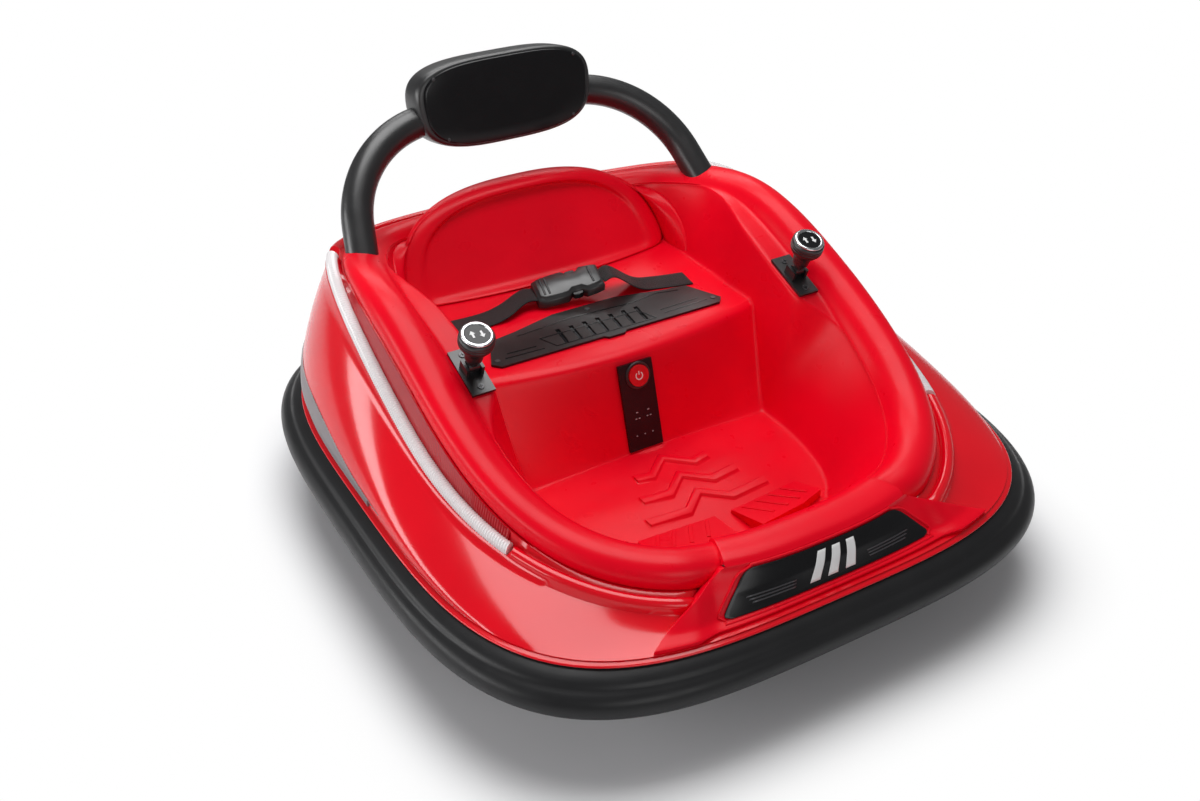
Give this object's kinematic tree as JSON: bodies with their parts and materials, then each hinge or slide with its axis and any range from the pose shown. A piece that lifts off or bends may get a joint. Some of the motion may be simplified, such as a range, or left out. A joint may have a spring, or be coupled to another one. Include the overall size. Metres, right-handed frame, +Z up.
{
  "type": "ride-on bumper car",
  "caption": "Child's electric ride-on bumper car with a wrap-round bumper, open cockpit with seat and belt, roll bar with head pad, tilting drive levers, drive wheels and swivel casters.",
  "frame": {"origin": "on the floor under the middle of the bumper ring", "axes": "+X forward to the nose, +Y to the rider's left, +Z up"},
  "size_m": [0.734, 0.696, 0.421],
  "materials": {
    "gloss_red": "high gloss",
    "satin_red": "satin",
    "bumper_black": "satin",
    "gloss_black": "gloss",
    "dark_plate": "satin",
    "clear_lens": "clear ribbed",
    "webbing": "woven",
    "tyre_black": "matte",
    "steel": "zinc plated",
    "silver": "metallised",
    "grey_plastic": "matte",
    "black_plastic": "satin"
  },
  "bodies": {
    "body": {"bumper_ring": "bumper_black", "body_shell": "gloss_red", "cockpit_tub": "satin_red", "nose_panel": "satin_red", "nose_plate": "gloss_black", "backrest": "satin_red", "seat_plate": "dark_plate", "control_panel": "gloss_black", "power_button": "gloss_red", "floor_treads": "satin_red", "foot_pads": "satin_red", "lamp_left": "clear_lens", "lamp_right": "clear_lens", "side_lens_left": "clear_lens", "side_lens_right": "clear_lens", "roll_bar": "bumper_black", "headrest": "bumper_black", "headrest_plate": "gloss_black", "belt_left": "webbing", "belt_right": "webbing", "buckle": "black_plastic", "lever_bracket_left": "black_plastic", "lever_bracket_right": "black_plastic", "chassis_pan": "black_plastic", "battery": "grey_plastic", "gearmotor_left": "grey_plastic", "gearmotor_right": "grey_plastic", "rear_axle": "steel", "caster_base_left": "steel", "caster_base_right": "steel"},
    "wheel_left": {"wheel_left": "grey_plastic", "tyre_left": "tyre_black"},
    "wheel_right": {"wheel_right": "grey_plastic", "tyre_right": "tyre_black"},
    "caster_left": {"caster_fork_left": "steel", "caster_axle_left": "steel"},
    "caster_right": {"caster_fork_right": "steel", "caster_axle_right": "steel"},
    "caster_wheel_left": {"caster_wheel_left": "tyre_black"},
    "caster_wheel_right": {"caster_wheel_right": "tyre_black"},
    "lever_left": {"lever_left": "black_plastic", "lever_cap_left": "silver"},
    "lever_right": {"lever_right": "black_plastic", "lever_cap_right": "silver"}
  },
  "joints": [
    {"name": "wheel_left_turn", "type": "hinge", "parent": "body", "child": "wheel_left", "pos_m": [-0.16, 0.212, 0.08], "axis": [0, 1, 0], "continuous": true},
    {"name": "caster_left_swivel", "type": "hinge", "parent": "body", "child": "caster_left", "pos_m": [0.205, 0.13, 0], "axis": [0, 0, 1], "continuous": true},
    {"name": "caster_wheel_left_turn", "type": "hinge", "parent": "caster_left", "child": "caster_wheel_left", "pos_m": [0.189, 0.13, 0.025], "axis": [0, 1, 0], "continuous": true},
    {"name": "lever_left_tilt", "type": "hinge", "parent": "body", "child": "lever_left", "pos_m": [0.00379, 0.1975, 0.23483], "axis": [0, 1, 0], "range_deg": [-20, 20], "stiffness_Nm_per_rad": 0.3},
    {"name": "wheel_right_turn", "type": "hinge", "parent": "body", "child": "wheel_right", "pos_m": [-0.16, -0.212, 0.08], "axis": [0, 1, 0], "continuous": true},
    {"name": "caster_right_swivel", "type": "hinge", "parent": "body", "child": "caster_right", "pos_m": [0.205, -0.13, 0], "axis": [0, 0, 1], "continuous": true},
    {"name": "caster_wheel_right_turn", "type": "hinge", "parent": "caster_right", "child": "caster_wheel_right", "pos_m": [0.189, -0.13, 0.025], "axis": [0, 1, 0], "continuous": true},
    {"name": "lever_right_tilt", "type": "hinge", "parent": "body", "child": "lever_right", "pos_m": [0.00379, -0.1975, 0.23483], "axis": [0, 1, 0], "range_deg": [-20, 20], "stiffness_Nm_per_rad": 0.3}
  ]
}
